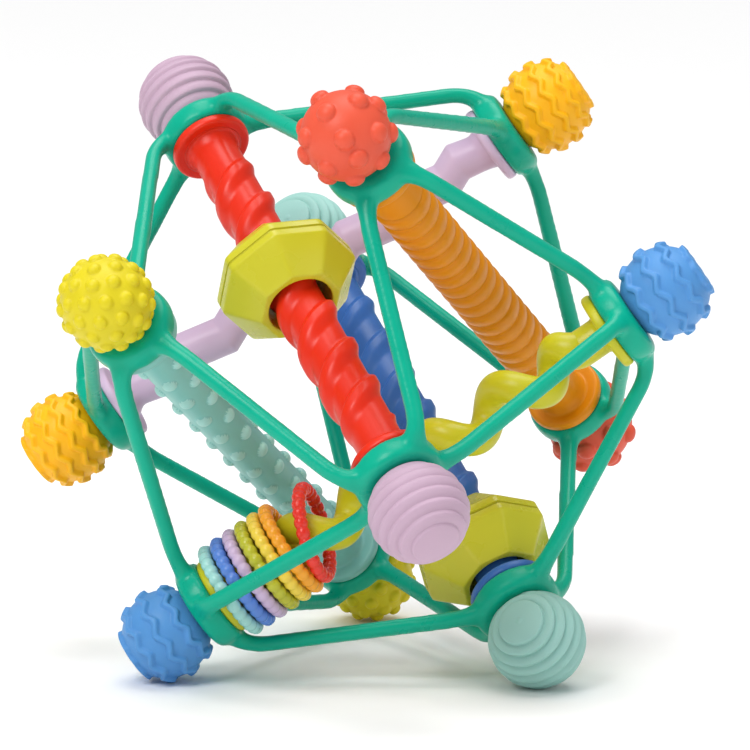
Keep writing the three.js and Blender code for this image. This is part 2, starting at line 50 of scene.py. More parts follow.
# The soft net. One moulding of teal elastomer: twelve ring hubs, each joined to four others by bands that
# leave its rim square to the strut, bend, and run straight across. Its stretch holds the whole toy together.
MM = 0.001
HUB_PLACE = 66.5  # from a strut's middle to the middle of its hub
HUB_RADIUS = 11.75
HUB_INNER_FACE = 3.6  # from the hub's middle to the face on the strut's flange
HUB_OUTER_FACE = 3.5  # and to the face under the ball
HUB_BORE = 4.8
HUB_FACETS = 72
BAND_HALF_WIDTH = 2.35
BAND_HALF_DEPTH = 2.15
BAND_SQUARENESS = 0.75  # at 1 the section would be an oval, at less it is a rounded box
BAND_FACETS = 24
BAND_STUB = 2.6  # from the hub's rim to the corner of the bend
BAND_BEND = 8.0  # from that corner to the straight part
BAND_ROOT = 4.5  # how deep inside the hub's rim a band starts
ROOT_FLARE = 3.6  # how far a band widens to each side where it runs into a hub,
ROOT_THICKEN = 0.75  # how far it thickens there,
ROOT_REACH = 9.5  # and over what length
NET_GRAIN = 0.66  # size of the net's facets
NET_SOFTENING = 20  # rounds of easing where bands and hubs run together

slope = math.asin(1 / math.sqrt(3))  # of every strut above the floor
ways = [  # the three ways in which the struts lie, square to each other
    np.array((math.cos(slope) * math.cos(turn), math.cos(slope) * math.sin(turn), math.sin(slope)))
    for turn in (0, 2 * math.pi / 3, 4 * math.pi / 3)
]
strut_lay = {  # the way that each strut lies, and its side of the toy's middle
    "lavender": (0, 1),
    "lime": (0, -1),
    "red": (1, 1),
    "blue": (1, -1),
    "orange": (2, 1),
    "aqua": (2, -1),
}
strut_middles = {j["child"].split("_")[0]: j["pos_m"] for j in frame["joints"] if j["type"] == "hinge"}


def strut_place(colour):
    """Where a strut lies: Z along it, X along the line between the two struts of its pair."""
    way, _ = strut_lay[colour]
    axes = [ways[(way + 1) % 3], ways[(way + 2) % 3], ways[way]]
    place = Matrix([Vector(axis) for axis in axes]).transposed().to_4x4()
    place.translation = Vector(strut_middles[colour])
    return place


def new_piece(name, points, faces, material, place=None):
    """A smooth-shaded piece from points in millimetres, set down at its place in the toy."""
    mesh = bpy.data.meshes.new(name)
    mesh.from_pydata((np.asarray(points) * MM).tolist(), [], faces)
    mesh.update()
    mesh.shade_smooth()
    mesh.materials.append(material)
    piece = bpy.data.objects.new(name, mesh)
    bpy.context.scene.collection.objects.link(piece)
    if place is not None:
        piece.matrix_world = place
    return piece


def linear(red, green, blue):
    """A colour as it shows on a screen, from 0 to 255, in the linear units that light works in."""
    return [((c / 255 + 0.055) / 1.055) ** 2.4 if c > 10 else c / 255 / 12.92 for c in (red, green, blue)]


def moulded(name, colour, roughness, cloud=0.05, grain=0.05, soft=0.0, gloss=0.45):
    """Moulded plastic or elastomer: a slightly cloudy colour, uneven gloss and the mould's fine grain."""
    material = bpy.data.materials.new(name)
    material.use_nodes = True
    nodes, links = material.node_tree.nodes, material.node_tree.links
    shader = nodes["Principled BSDF"]
    shader.inputs["Specular IOR Level"].default_value = gloss
    shader.inputs["Subsurface Weight"].default_value = soft
    shader.inputs["Subsurface Radius"].default_value = [0.004 * c + 0.001 for c in colour]
    shader.inputs["Subsurface Scale"].default_value = 1.0
    where = nodes.new("ShaderNodeTexCoord")
    clouds = nodes.new("ShaderNodeTexNoise")
    clouds.inputs["Scale"].default_value = 90
    clouds.inputs["Detail"].default_value = 5
    links.new(where.outputs["Object"], clouds.inputs["Vector"])
    tint = nodes.new("ShaderNodeMix")
    tint.data_type = "RGBA"
    tint.inputs["A"].default_value = [c * (1 - cloud) for c in colour] + [1]
    tint.inputs["B"].default_value = [min(1, c * (1 + cloud)) for c in colour] + [1]
    links.new(clouds.outputs["Fac"], tint.inputs["Factor"])
    links.new(tint.outputs["Result"], shader.inputs["Base Color"])
    speckle = nodes.new("ShaderNodeTexNoise")
    speckle.inputs["Scale"].default_value = 1800
    speckle.inputs["Detail"].default_value = 3
    links.new(where.outputs["Object"], speckle.inputs["Vector"])
    sheen = nodes.new("ShaderNodeMapRange")
    sheen.inputs["From Min"].default_value = 0.3
    sheen.inputs["From Max"].default_value = 0.7
    sheen.inputs["To Min"].default_value = roughness - 0.05
    sheen.inputs["To Max"].default_value = roughness + 0.06
    links.new(clouds.outputs["Fac"], sheen.inputs["Value"])
    links.new(sheen.outputs["Result"], shader.inputs["Roughness"])
    relief = nodes.new("ShaderNodeBump")
    relief.inputs["Strength"].default_value = grain
    relief.inputs["Distance"].default_value = 0.0004
    links.new(speckle.outputs["Fac"], relief.inputs["Height"])
    links.new(relief.outputs["Normal"], shader.inputs["Normal"])
    return material


def loop_faces(rows, columns, ring=False):
    """Faces of a grid that closes round its columns, and round its rows too for a ring."""
    faces = []
    for row in range(rows if ring else rows - 1):
        low, high = row * columns, (row + 1) % rows * columns
        for column in range(columns):
            right = (column + 1) % columns
            faces.append((low + column, low + right, high + right, high + column))
    return faces


def bend_point(start, corner, end, t):
    """A point on the smooth bend from start to end that is drawn towards the corner."""
    return (1 - t) ** 2 * start + 2 * t * (1 - t) * corner + t**2 * end


def rounded(corners, steps=6):
    """A line of (radius, height, rounding) corners with each corner rounded off."""
    line = []
    for i, (radius, height, rounding) in enumerate(corners):
        here = np.array((radius, height), float)
        if rounding == 0:
            line.append(here)
            continue
        before = np.array(corners[i - 1][:2], float) - here
        after = np.array(corners[(i + 1) % len(corners)][:2], float) - here
        start = here + before / np.linalg.norm(before) * rounding
        end = here + after / np.linalg.norm(after) * rounding
        for t in np.linspace(0, 1, steps + 1):
            line.append(bend_point(start, here, end, t))
    return line


def unit(vector):
    """The same direction with length 1."""
    return vector / np.linalg.norm(vector)


def hub_at(way, side, end):
    """The middle of a hub, and the way it faces, out along its strut."""
    colour = next(name for name, lay in strut_lay.items() if lay == (way, side))
    outward = ways[way] * end
    return np.array(strut_middles[colour]) / MM + outward * HUB_PLACE, outward


def hub_ring(hub):
    """A hub's ring with its rounded rim, square to the strut."""
    middle, outward = hub
    outline = rounded([
        (HUB_BORE, -HUB_INNER_FACE, 0.3),
        (HUB_RADIUS - 0.2, -HUB_INNER_FACE, 1.0),
        (HUB_RADIUS + 0.1, 0.0, 0.8),
        (HUB_RADIUS, HUB_OUTER_FACE, 2.4),
        (HUB_BORE, HUB_OUTER_FACE, 0.3),
    ])
    across = unit(np.cross(outward, (0.3, 0.5, 0.8)))  # any way square to the strut
    third = np.cross(outward, across)
    turn = np.linspace(0, 2 * math.pi, HUB_FACETS, endpoint=False)
    rim = np.cos(turn)[:, None] * across + np.sin(turn)[:, None] * third
    points = [middle + radius * rim + height * outward for radius, height in outline]
    return np.concatenate(points), loop_faces(len(outline), HUB_FACETS, ring=True)


def net_band(start, end):
    """A band from one hub to another, swept along its line with a rounded, slightly flat section."""
    (hub, facing), (far_hub, far_facing) = start, end
    reach = far_hub - hub
    leave = unit(reach - reach.dot(facing) * facing)
    arrive = unit(-reach + reach.dot(far_facing) * far_facing)
    first = hub + leave * (HUB_RADIUS - BAND_ROOT)
    last = far_hub + arrive * (HUB_RADIUS - BAND_ROOT)
    corner = hub + leave * (HUB_RADIUS + BAND_STUB)
    far_corner = far_hub + arrive * (HUB_RADIUS + BAND_STUB)
    across = unit(far_corner - corner)
    bend, far_bend = corner + across * BAND_BEND, far_corner - across * BAND_BEND
    line = [bend_point(first, corner, bend, t) for t in np.linspace(0, 1, 16)]
    line += [bend + (far_bend - bend) * t for t in np.linspace(0, 1, 20)[1:-1]]
    line += [bend_point(far_bend, far_corner, last, t) for t in np.linspace(0, 1, 16)]
    line = np.array(line)
    travelled = np.concatenate(([0], np.cumsum(np.linalg.norm(np.diff(line, axis=0), axis=1))))
    along = np.gradient(line, axis=0)
    side_start = unit(np.cross(facing, leave))
    side_end = unit(np.cross(far_facing, arrive))
    if side_start.dot(side_end) < 0:
        side_end = -side_end
    turn = np.linspace(0, 2 * math.pi, BAND_FACETS, endpoint=False)
    wide = np.sign(np.cos(turn)) * np.abs(np.cos(turn)) ** BAND_SQUARENESS
    deep = np.sign(np.sin(turn)) * np.abs(np.sin(turn)) ** BAND_SQUARENESS
    rows = []
    for point, tangent, done in zip(line, along, travelled):
        share = done / travelled[-1]
        tangent = unit(tangent)
        side = side_start * (1 - share) + side_end * share
        side = unit(side - side.dot(tangent) * tangent)
        depth = np.cross(tangent, side)
        near = max(0.0, 1 - min(done, travelled[-1] - done) / ROOT_REACH)
        width = BAND_HALF_WIDTH + ROOT_FLARE * near**2
        thick = BAND_HALF_DEPTH + ROOT_THICKEN * near**1.5
        rows.append(point + width * wide[:, None] * side + thick * deep[:, None] * depth)
    faces = loop_faces(len(rows), BAND_FACETS)
    faces.append(tuple(reversed(range(BAND_FACETS))))
    faces.append(tuple(range((len(rows) - 1) * BAND_FACETS, len(rows) * BAND_FACETS)))
    return np.concatenate(rows), faces


teal_elastomer = moulded(
    "teal_elastomer", linear(0, 165, 135), 0.3, cloud=0.07, grain=0.08, soft=0.04, gloss=0.22
)
net_points, net_faces, count = [], [], 0
for way in range(3):
    for side in (1, -1):
        for end in (1, -1):
            hub = hub_at(way, side, end)
            shapes = [hub_ring(hub)]
            for next_side in (1, -1):
                shapes.append(net_band(hub, hub_at((way + 1) % 3, next_side, side)))
            for points, faces in shapes:
                net_points.append(points)
                net_faces += [tuple(count + v for v in face) for face in faces]
                count += len(points)
rough_net = new_piece("rough_net", np.concatenate(net_points), net_faces, teal_elastomer)
fuse = rough_net.modifiers.new("fuse", "REMESH")
fuse.mode = "VOXEL"
fuse.voxel_size = NET_GRAIN * MM
fuse.use_smooth_shade = True
soften = rough_net.modifiers.new("soften", "SMOOTH")
soften.factor = 0.5
soften.iterations = NET_SOFTENING
fused_net = rough_net.evaluated_get(bpy.context.evaluated_depsgraph_get())
net_mesh = bpy.data.meshes.new_from_object(fused_net)
net_mesh.name = "soft_net"
net_mesh.shade_smooth()
net_mesh.materials.clear()
net_mesh.materials.append(teal_elastomer)
soft_net = bpy.data.objects.new("soft_net", net_mesh)
bpy.context.scene.collection.objects.link(soft_net)
bpy.data.objects.remove(rough_net)
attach(soft_net, "net")
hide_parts(*[node for node in frame["nodes"] if node.startswith("net_")])


# The red and the blue twisted struts. Rigid injection-moulded bars with two rounded ridges wound round them
# like a rope. Each end has a dished flange that stops the hub and a pin that goes through it into the ball.
HALF_SPAN = 80.0  # from a strut's middle to the centre of its ball
PIN_RADIUS = 4.5
PIN_SHORT = 9.5  # how far the pin stops short of the ball's centre
FLANGE_RADIUS = 10.75
FLANGE_OUTER = 63.0  # from the strut's middle to the flange's face on the hub
FLANGE_INNER = 60.2  # and to its face on the side of the middle
NECK_LENGTH = 3.4  # of the plain neck beside each flange
BODY_HALF = FLANGE_INNER - 4.0  # half the length that carries the strut's texture
TWIST_ROOT = 6.35
TWIST_RIDGE = 1.45
TWIST_LEAD = 28.7
TWIST_FALL = 0.14  # shares of the way from one ridge to the next: the steep side,
TWIST_RISE = (0.54, 0.85)  # and the start and end of the gentle side
TWIST_PLAIN = 4.0  # at each end the body stays plain for this length,
TWIST_FADE = 7.0  # and over this length the ridges rise to their height


def smooth_step(low, high, value):
    """A soft rise from 0 at low to 1 at high."""
    t = np.clip((value - low) / (high - low), 0, 1)
    return t * t * (3 - 2 * t)


def strut_end(neck):
    """Outline of a strut's lower end: pin, flange with a rounded rim and a dished face, and neck."""
    return rounded([
        (0.0, -HALF_SPAN + PIN_SHORT, 0),
        (PIN_RADIUS, -HALF_SPAN + PIN_SHORT, 0.4),
        (PIN_RADIUS, -FLANGE_OUTER, 0.2),
        (FLANGE_RADIUS, -FLANGE_OUTER, 1.0),
        (FLANGE_RADIUS, -FLANGE_INNER, 1.2),
        (FLANGE_RADIUS - 2.0, -FLANGE_INNER, 0.7),
        (neck + 0.9, -FLANGE_INNER - 0.2, 0.85),
        (neck, -FLANGE_INNER + 2.2, 1.0),
        (neck, -FLANGE_INNER + NECK_LENGTH, 0),
    ])


def strut_line(neck, body):
    """A strut's whole outline, the same at both ends."""
    lower = [tuple(point) for point in strut_end(neck)]
    return lower + list(body) + [(radius, -height) for radius, height in reversed(lower)]


def closed_faces(rows, columns):
    """Faces of a grid that closes round its columns, with a fan to the pole at each end. The two poles are
    the points after the grid's own."""
    faces = loop_faces(rows, columns)
    top, pole = (rows - 1) * columns, rows * columns
    for column in range(columns):
        right = (column + 1) % columns
        faces.append((pole, right, column))
        faces.append((pole + 1, top + column, top + right))
    return faces


def turned(outline, columns, lift=None, shift=None):
    """A solid turned about Z from an outline that starts and ends on the axis. Lift adds to the radius and
    shift moves each row to one side."""
    rows = np.array(outline[1:-1], float)
    turn = np.linspace(0, 2 * math.pi, columns, endpoint=False)[None, :]
    height = rows[:, 1][:, None]
    radius = rows[:, 0][:, None] + (lift(turn, height) if lift else 0 * turn)
    x, y = radius * np.cos(turn), radius * np.sin(turn)
    if shift:
        dx, dy = shift(height)
        x, y = x + dx, y + dy
    points = np.stack((x, y, height + 0 * turn), axis=-1).reshape(-1, 3)
    points = np.concatenate((points, [(0, 0, outline[0][1]), (0, 0, outline[-1][1])]))
    return points, closed_faces(len(rows), columns)


def even_rows(radius, half, step):
    """Evenly spaced rows of one radius, from -half to half."""
    return [(radius, height) for height in np.linspace(-half, half, round(2 * half / step) + 1)]


def finish_strut(piece, colour, node):
    """A strut turns in its hubs, so each has a body of its own."""
    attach(piece, f"{colour}_strut")
    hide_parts(node)


def twisted_bar(ridge_angle):
    """A bar with two ridges wound round it. The steep side of one passes the given angle at the middle."""
    def ridges(turn, height):
        fade = smooth_step(0, TWIST_FADE, BODY_HALF - TWIST_PLAIN - np.abs(height))
        past = (2 * height / TWIST_LEAD - (turn - math.radians(ridge_angle)) / math.pi) % 1
        steep = 1 - smooth_step(0, TWIST_FALL, past)
        return TWIST_RIDGE * fade * (steep + smooth_step(*TWIST_RISE, past))

    return turned(strut_line(TWIST_ROOT, even_rows(TWIST_ROOT, BODY_HALF, 0.45)), 108, lift=ridges)


red_plastic = moulded("red_plastic", linear(226, 44, 18), 0.34, cloud=0.04, soft=0.04, gloss=0.3)
red_strut = new_piece("red_twisted_bar", *twisted_bar(177), red_plastic, strut_place("red"))
finish_strut(red_strut, "red", "strut_red_twisted")
blue_plastic = moulded("blue_plastic", linear(54, 106, 180), 0.38, cloud=0.04, soft=0.04, gloss=0.35)
blue_strut = new_piece("blue_twisted_bar", *twisted_bar(193), blue_plastic, strut_place("blue"))
finish_strut(blue_strut, "blue", "strut_blue_twisted")


# The orange ringed strut. A rigid moulded bar with a smooth shoulder at each end and eighteen rounded bands
# between, like a stack of cups, that a finger clicks along. Its flanges are the same as on the other struts.
RINGED_RADIUS = 7.8
RINGED_NECK = 6.2
RINGED_HALF = 47.2
RINGED_BANDS = 18
RINGED_SHIFT = 1.4  # the bands stand this far above the middle
RINGED_STEP = 0.7  # how far a band stands out
RINGED_CREST = 0.65  # share of a band's length up to its fullest place

ringed_pitch = 2 * RINGED_HALF / RINGED_BANDS
ringed_root = RINGED_RADIUS - RINGED_STEP
ringed_shoulder = [tuple(point) for point in rounded([
    (RINGED_NECK, -FLANGE_INNER + 4.5, 0),
    (RINGED_NECK, -RINGED_HALF - 6.5, 2.0),
    (ringed_root, -RINGED_HALF - 1.0, 1.0),
    (ringed_root, -RINGED_HALF - 0.05, 0),
])]
ringed_body = ringed_shoulder[:1]
ringed_body += [(radius, RINGED_SHIFT + height) for radius, height in ringed_shoulder[1:]]
for band in range(RINGED_BANDS):
    for share in (0.0, 0.05, 0.12, 0.24, 0.4, 0.56, 0.68, 0.78, 0.86, 0.92, 0.97):
        if share < RINGED_CREST:
            bulge = 1 - (1 - share / RINGED_CREST) ** 2.2
        else:
            bulge = 1 - ((share - RINGED_CREST) / (1 - RINGED_CREST)) ** 2.6
        level = RINGED_SHIFT - RINGED_HALF + (band + share) * ringed_pitch
        ringed_body.append((RINGED_RADIUS - RINGED_STEP * (1 - bulge), level))
ringed_body.append((ringed_root, RINGED_SHIFT + RINGED_HALF))
ringed_body += [(radius, RINGED_SHIFT - height) for radius, height in reversed(ringed_shoulder[1:])]
ringed_line = strut_line(RINGED_NECK, ringed_body)
orange_plastic = moulded("orange_plastic", linear(224, 138, 6), 0.36, cloud=0.04, soft=0.04, gloss=0.25)
orange_strut = new_piece("orange_ringed_bar", *turned(ringed_line, 84), orange_plastic, strut_place("orange"))
finish_strut(orange_strut, "orange", "strut_orange_ringed")


# The aqua bumped strut. A rigid moulded bar of pale aqua plastic that lets a little light in, with six
# staggered rows of small domes along it, their tops made paler as a painted highlight. Flanges and pins are
# moulded with it.
BUMPED_RADIUS = 5.85
STRUT_BUMP_RADIUS = 1.85
STRUT_BUMP_HEIGHT = 1.3
STRUT_BUMP_PITCH = 10.0
STRUT_BUMP_START = 40.0
STRUT_BUMP_TURN = -50.3
STRUT_BUMP_REACH = 51.5  # from the strut's middle to the end of the rows


def strut_bumps(turn, height):
    """Domes in six rows a sixth of a turn apart, every second row half a pitch further on."""
    raised = np.zeros(np.broadcast(turn, height).shape)
    for row in range(6):
        angle = math.radians(STRUT_BUMP_TURN + 60 * row)
        start = STRUT_BUMP_START - (STRUT_BUMP_PITCH / 2 if row % 2 else 0)
        off = (height - start + STRUT_BUMP_PITCH / 2) % STRUT_BUMP_PITCH - STRUT_BUMP_PITCH / 2
        side = ((turn - angle + math.pi) % (2 * math.pi) - math.pi) * BUMPED_RADIUS
        inside = np.clip(1 - (off**2 + (side * 0.9) ** 2) / STRUT_BUMP_RADIUS**2, 0, 1)
        raised = np.maximum(raised, STRUT_BUMP_HEIGHT * inside**0.6)
    return raised * (np.abs(height) < STRUT_BUMP_REACH)


aqua_plastic = moulded("aqua_plastic", linear(130, 192, 184), 0.36, cloud=0.04, soft=0.1, gloss=0.4)
bumped_line = strut_line(BUMPED_RADIUS, even_rows(BUMPED_RADIUS, BODY_HALF, 0.36))
bumped_bar = turned(bumped_line, 112, lift=strut_bumps)
aqua_strut = new_piece("aqua_bumped_bar", *bumped_bar, aqua_plastic, strut_place("aqua"))
# The dome tops get a paler aqua that is a painted highlight: it stands for the light the domes catch, and it
# shows from every side.
dome_painted_highlight = moulded("aqua_dome_painted_highlight", linear(164, 214, 206), 0.34, cloud=0.03, soft=0.1, gloss=0.4)
aqua_strut.data.materials.append(dome_painted_highlight)
# Faces that stand out past this reach are the dome tops, and they take the painted highlight.
painted_highlight_reach = BUMPED_RADIUS + 0.2 * STRUT_BUMP_HEIGHT
for face in aqua_strut.data.polygons:
    reach = math.hypot(face.center.x, face.center.y) / MM
    if reach > painted_highlight_reach and abs(face.center.z) < STRUT_BUMP_REACH * MM:
        face.material_index = 1
finish_strut(aqua_strut, "aqua", "strut_aqua_bumped")


# The lavender zigzag strut. A round rigid bar of pale lavender plastic, moulded with twelve mitred kinks in
# one plane: a short steep step to one side, then a longer gentle run back. Flanges and pins are part of it.
ZIGZAG_RADIUS = 5.55
ZIGZAG_NECK = 5.3
ZIGZAG_SWING = 1.3
ZIGZAG_PERIOD = 18.3
ZIGZAG_CREST = 51.5  # along the strut to the topmost crest
ZIGZAG_RUN = 0.68  # share of a period taken by the gentle run
ZIGZAG_PLANE = 39.0
ZIGZAG_FADE = 4.0  # length at each flange over which the swing dies away
ZIGZAG_SWELL = 6.0  # length over which the neck swells to the bar


def zigzag_shift(height):
    """How far the bar's middle stands to one side, with each kink slightly eased."""
    swing = 0
    for ease in (-0.3, -0.15, 0, 0.15, 0.3):
        place = (height + ease - ZIGZAG_CREST) / ZIGZAG_PERIOD % 1
        run, step = 1 - 2 * place / ZIGZAG_RUN, 2 * (place - ZIGZAG_RUN) / (1 - ZIGZAG_RUN) - 1
        swing = swing + np.where(place < ZIGZAG_RUN, run, step) * ZIGZAG_SWING / 5
    swing = swing * smooth_step(0, ZIGZAG_FADE, FLANGE_INNER - 0.2 - np.abs(height))
    plane = math.radians(ZIGZAG_PLANE)
    return swing * math.cos(plane), swing * math.sin(plane)


lavender_plastic = moulded("lavender_plastic", linear(206, 180, 208), 0.38, cloud=0.03, soft=0.06, gloss=0.35)
zigzag_body = []
for _, height in even_rows(ZIGZAG_RADIUS, BODY_HALF, 0.36):
    swell = float(smooth_step(0, ZIGZAG_SWELL, FLANGE_INNER - NECK_LENGTH - abs(height)))
    zigzag_body.append((ZIGZAG_NECK + (ZIGZAG_RADIUS - ZIGZAG_NECK) * swell, height))
zigzag_bar = turned(strut_line(ZIGZAG_NECK, zigzag_body), 64, shift=zigzag_shift)
lavender_strut = new_piece("lavender_zigzag_bar", *zigzag_bar, lavender_plastic, strut_place("lavender"))
finish_strut(lavender_strut, "lavender", "strut_lavender_zigzag")


# The lime corkscrew strut. A rigid round rod of yellow-green plastic, moulded as a right-handed corkscrew. At
# each end it comes back to the middle and runs as a short, thicker stub into the flange.
CORKSCREW_TUBE = 4.3
CORKSCREW_STUB = 5.0
CORKSCREW_RADIUS = 4.1
CORKSCREW_LEAD = 22.0
CORKSCREW_ANGLE = -80.0
CORKSCREW_QUICKEN = 41.0  # degrees by which the last curl at each end is tighter,
CORKSCREW_LAST = (39.0, 48.0)  # between these distances from the strut's middle
CORKSCREW_STRAIGHT = (53.0, 47.5)  # beyond the first distance the rod is straight, below the second it curls
CORKSCREW_SWELL = (11.5, 9.0)  # distances from the flange between which the rod swells to the stub
CORKSCREW_FILLET = 1.6
NECK_POINTS = 16  # how many points of a strut end's outline the rod takes the place of


def corkscrew_rod():
    """The rod swept along its line, with the two turned flanges as the first and last part of the sweep."""
    columns = 48
    around = np.linspace(0, 2 * math.pi, columns, endpoint=False)

    def turned_row(radius, level, start=0.0):
        spin = around + start
        return np.stack((radius * np.cos(spin), radius * np.sin(spin), level + 0 * spin), axis=-1)

    ends = [tuple(point) for point in strut_end(CORKSCREW_STUB)][:-NECK_POINTS]
    half = FLANGE_INNER + 0.3
    height = np.linspace(-half, half, 420)
    quicken = np.sign(height) * CORKSCREW_QUICKEN * smooth_step(*CORKSCREW_LAST, np.abs(height))
    turn = np.radians(CORKSCREW_ANGLE + height / CORKSCREW_LEAD * 360 + quicken)
    reach = CORKSCREW_RADIUS * smooth_step(*CORKSCREW_STRAIGHT, np.abs(height))
    line = np.stack((reach * np.cos(turn), reach * np.sin(turn), height), axis=-1)
    for _ in range(15):
        line[1:-1] = (line[:-2] + 2 * line[1:-1] + line[2:]) / 4
    along = np.gradient(line, axis=0)
    along /= np.linalg.norm(along, axis=1)[:, None]
    room = half - np.abs(height)
    stub = (CORKSCREW_STUB - CORKSCREW_TUBE) * smooth_step(*CORKSCREW_SWELL, room)
    thick = CORKSCREW_TUBE + stub + np.clip(1 - room / CORKSCREW_FILLET, 0, 1) ** 2
    rows = [turned_row(radius, level) for radius, level in ends[1:]]
    side = np.array((1.0, 0.0, 0.0))
    for point, tangent, radius in zip(line, along, thick):
        side = unit(side - side.dot(tangent) * tangent)
        third = np.cross(tangent, side)
        rows.append(point + radius * (np.cos(around)[:, None] * side + np.sin(around)[:, None] * third))
    last_turn = math.atan2(side[1], side[0])
    rows += [turned_row(radius, -level, last_turn) for radius, level in reversed(ends[1:])]
    points = np.concatenate(rows + [[(0, 0, ends[0][1]), (0, 0, -ends[0][1])]])
    return points, closed_faces(len(rows), columns)


lime_plastic = moulded("lime_plastic", linear(196, 190, 30), 0.36, cloud=0.04, soft=0.04, gloss=0.35)
lime_strut = new_piece("lime_corkscrew_rod", *corkscrew_rod(), lime_plastic, strut_place("lime"))
finish_strut(lime_strut, "lime", "strut_lime_corkscrew")


# The loose rings on the corkscrew. Seven small rings of balls fused in a row, each moulded in one colour.
# They are trapped between the flanges: six lie stacked on the lower one and the red one leans on them.
RING_RADIUS = 11.8  # to the middle of the section
RING_BALL = 1.88
RING_WIDTH = 1.07  # how much wider the section is than it is high
RING_WAIST = 1.45
RING_BALLS = 27
RING_FIRST = -59.18  # along the strut
RING_STEP = 3.9
RING_LEAN = 18.0
RING_OPEN = -9.0  # how far the leaning ring is also turned to face the front
RING_SPIN = 0.9  # radians by which each ring is turned on from the one below


def ball_ring():
    """A ring of fused balls, lying flat round Z."""
    steps, columns = RING_BALLS * 14, 16  # fourteen steps to a ball
    turn = np.linspace(0, 2 * math.pi, steps, endpoint=False)
    pitch = 2 * math.pi * RING_RADIUS / RING_BALLS
    off = (turn * RING_RADIUS + pitch / 2) % pitch - pitch / 2
    ball = np.sqrt(np.clip(RING_BALL**2 - off**2, 0, None))
    thick = (ball**8 + RING_WAIST**8) ** (1 / 8)
    thick *= RING_BALL / thick.max()
    around = np.linspace(0, 2 * math.pi, columns, endpoint=False)[None, :]
    reach = RING_RADIUS + RING_WIDTH * thick[:, None] * np.cos(around)
    rise = thick[:, None] * np.sin(around)
    points = np.stack((reach * np.cos(turn)[:, None], reach * np.sin(turn)[:, None], rise), axis=-1)
    faces = [face[::-1] for face in loop_faces(steps, columns, ring=True)]
    return points.reshape(-1, 3), faces


ring_paints = {  # the plastic's colour and the name of its finish
    "aqua": ((158, 212, 206), "ring_aqua"),
    "blue": ((88, 132, 212), "ring_blue"),
    "lavender": ((200, 176, 208), "lavender"),
    "olive": ((186, 186, 48), "lime"),
    "yellow": ((238, 206, 70), "ring_yellow"),
    "orange": ((244, 164, 40), "orange"),
    "red": ((232, 52, 40), "red"),
}
ring_points, ring_faces = ball_ring()
for number, (colour, (paint, finish)) in enumerate(ring_paints.items()):
    along = RING_FIRST + number * RING_STEP
    tilt = Matrix.Identity(4)
    if colour == "red":
        along += RING_RADIUS * math.sin(math.radians(RING_LEAN))
        tilt = Matrix.Rotation(math.radians(RING_LEAN), 4, Vector((1, -1, 0)).normalized())
        tilt = tilt @ Matrix.Rotation(math.radians(RING_OPEN), 4, Vector((1, 1, 0)).normalized())
    spin = Matrix.Rotation(number * RING_SPIN, 4, "Z")
    place = strut_place("lime") @ Matrix.Translation((0, 0, along * MM)) @ tilt @ spin
    ring_plastic = moulded(f"{colour}_ring_plastic", linear(*paint), 0.24, cloud=0.03, soft=0.05, gloss=0.45)
    ball_ring_piece = new_piece(f"{colour}_ball_ring", ring_points, ring_faces, ring_plastic, place)
    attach(ball_ring_piece, f"{colour}_ring")
    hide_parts(f"ring_{colour}")


# The two sliding beads. Hollow eight-sided beads of glossy olive plastic, each moulded in two halves that are
# joined at a seam in the belt. One leans part of the way up the red strut, one has slid down the blue strut.
BEAD_CORNER = 19.1  # from the axis to a corner of the belt
BEAD_HALF = 11.3
BEAD_MOUTH = 11.0  # from the axis to a corner of the top face
BEAD_BORE = 8.8
BEAD_BELT = 2.5
BEAD_SAG = 0.85  # how far the lower bead hangs down on its strut
BEAD_SEAM = 0.08  # half the gap between the two halves


def eight_sided(turn, corner, sharp=70):
    """Distance from the axis to the rim of a regular octagon with slightly rounded corners."""
    flat = corner * math.cos(math.pi / 8)
    total = 0
    for side in range(8):
        facing = np.clip(np.cos(turn - (side + 0.5) * math.pi / 4), 0, None)
        total = total + (facing / flat) ** sharp
    return total ** (-1 / sharp)


def bead_shell():
    """The upper half of a bead, from the seam over the belt and the sloping faces and down the bore."""
    columns = 160
    turn = np.linspace(0, 2 * math.pi, columns, endpoint=False)
    outer = rounded([
        (BEAD_CORNER - 1.6, BEAD_SEAM, 0),
        (BEAD_CORNER - 0.5, BEAD_SEAM, 0.1),
        (BEAD_CORNER - 0.45, 0.3, 0.1),
        (BEAD_CORNER, 0.4, 0.1),
        (BEAD_CORNER, BEAD_BELT, 0.4),
        (BEAD_MOUTH + 0.2, BEAD_HALF, 0.5),
        (BEAD_MOUTH - 0.6, BEAD_HALF, 0),
    ], steps=4)
    inner = rounded([
        (BEAD_BORE + 0.6, BEAD_HALF, 0),
        (BEAD_BORE, BEAD_HALF, 0.55),
        (BEAD_BORE, BEAD_SEAM, 0.2),
        (BEAD_BORE + 0.8, BEAD_SEAM, 0),
    ])
    rows = []
    for radius, height in outer:
        reach = eight_sided(turn, radius)
        rows.append(np.stack((reach * np.cos(turn), reach * np.sin(turn), height + 0 * turn), axis=-1))
    for radius, height in inner:
        rows.append(np.stack((radius * np.cos(turn), radius * np.sin(turn), height + 0 * turn), axis=-1))
    return np.concatenate(rows), loop_faces(len(rows), columns, ring=True)


